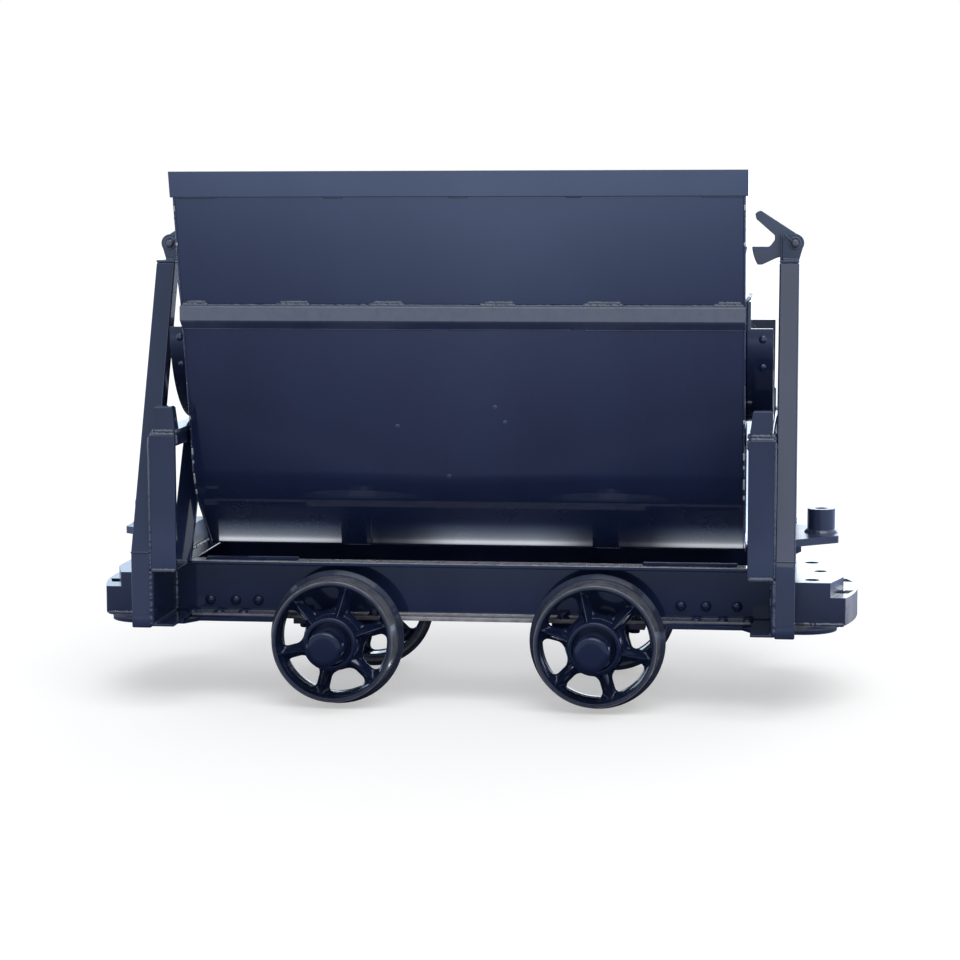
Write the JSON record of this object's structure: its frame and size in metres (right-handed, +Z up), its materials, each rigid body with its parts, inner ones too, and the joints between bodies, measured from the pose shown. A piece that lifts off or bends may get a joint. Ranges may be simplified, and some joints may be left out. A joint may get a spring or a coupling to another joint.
{
  "type": "tipping ore cart",
  "caption": "Narrow-gauge mine car whose V-bottomed bucket rocks sideways on two end rails, with spoked flanged wheels and pin couplings.",
  "frame": {"origin": "on the floor under the middle of the cart, at the lowest point of the wheel flanges", "axes": "+X along the track, +Y across it, +Z up"},
  "size_m": [2, 1.004, 1.371],
  "materials": {
    "frame_enamel": "gloss dark blue enamel on rolled steel",
    "bucket_enamel": "gloss dark blue enamel on steel sheet",
    "cast_enamel": "gloss dark blue enamel on castings",
    "pin_steel": "turned steel, lightly oiled"
  },
  "bodies": {
    "chassis": {"side_channels": "frame_enamel", "end_beams": "frame_enamel", "cross_members": "frame_enamel", "end_plates": "frame_enamel", "axle_boxes": "frame_enamel", "end_frame_front": "frame_enamel", "end_frame_rear": "frame_enamel", "rail_posts": "frame_enamel", "rail_props": "frame_enamel", "rolling_rail_front": "frame_enamel", "rolling_rail_rear": "frame_enamel", "rail_stops": "frame_enamel", "bumper_front": "cast_enamel", "bumper_rear": "cast_enamel", "coupler_jaw_front": "cast_enamel", "coupler_jaw_rear": "cast_enamel", "latch_bracket_front": "frame_enamel", "latch_bracket_rear": "frame_enamel", "latch_pin_front": "pin_steel", "latch_pin_rear": "pin_steel"},
    "bucket": {"bucket_sheet": "bucket_enamel", "bucket_end_front": "bucket_enamel", "bucket_end_rear": "bucket_enamel", "rim_band": "bucket_enamel", "side_ribs": "bucket_enamel", "rocker_plate_front": "bucket_enamel", "rocker_plate_rear": "bucket_enamel", "rocker_tread_front": "bucket_enamel", "rocker_tread_rear": "bucket_enamel"},
    "wheelset_front": {"axle_front": "pin_steel", "wheels_front": "cast_enamel", "hub_caps_front": "cast_enamel"},
    "wheelset_rear": {"axle_rear": "pin_steel", "wheels_rear": "cast_enamel", "hub_caps_rear": "cast_enamel"},
    "latch_front": {"latch_lever_front": "frame_enamel"},
    "latch_rear": {"latch_lever_rear": "frame_enamel"}
  },
  "joints": [
    {"name": "wheelset_front_roll", "type": "hinge", "parent": "chassis", "child": "wheelset_front", "pos_m": [0.3375, 0, 0.175], "axis": [0, 1, 0], "continuous": true},
    {"name": "wheelset_rear_roll", "type": "hinge", "parent": "chassis", "child": "wheelset_rear", "pos_m": [-0.3375, 0, 0.175], "axis": [0, 1, 0], "continuous": true},
    {"name": "bucket_tip", "type": "hinge", "parent": "chassis", "child": "bucket", "pos_m": [0, 0, 0.975], "axis": [1, 0, 0], "range_deg": [-42, 42]},
    {"name": "latch_front_lift", "type": "hinge", "parent": "chassis", "child": "latch_front", "pos_m": [0.826, 0, 1.185], "axis": [0, 1, 0], "range_deg": [0, 50]},
    {"name": "latch_rear_lift", "type": "hinge", "parent": "chassis", "child": "latch_rear", "pos_m": [-0.826, 0, 1.185], "axis": [0, -1, 0], "range_deg": [0, 50]}
  ]
}
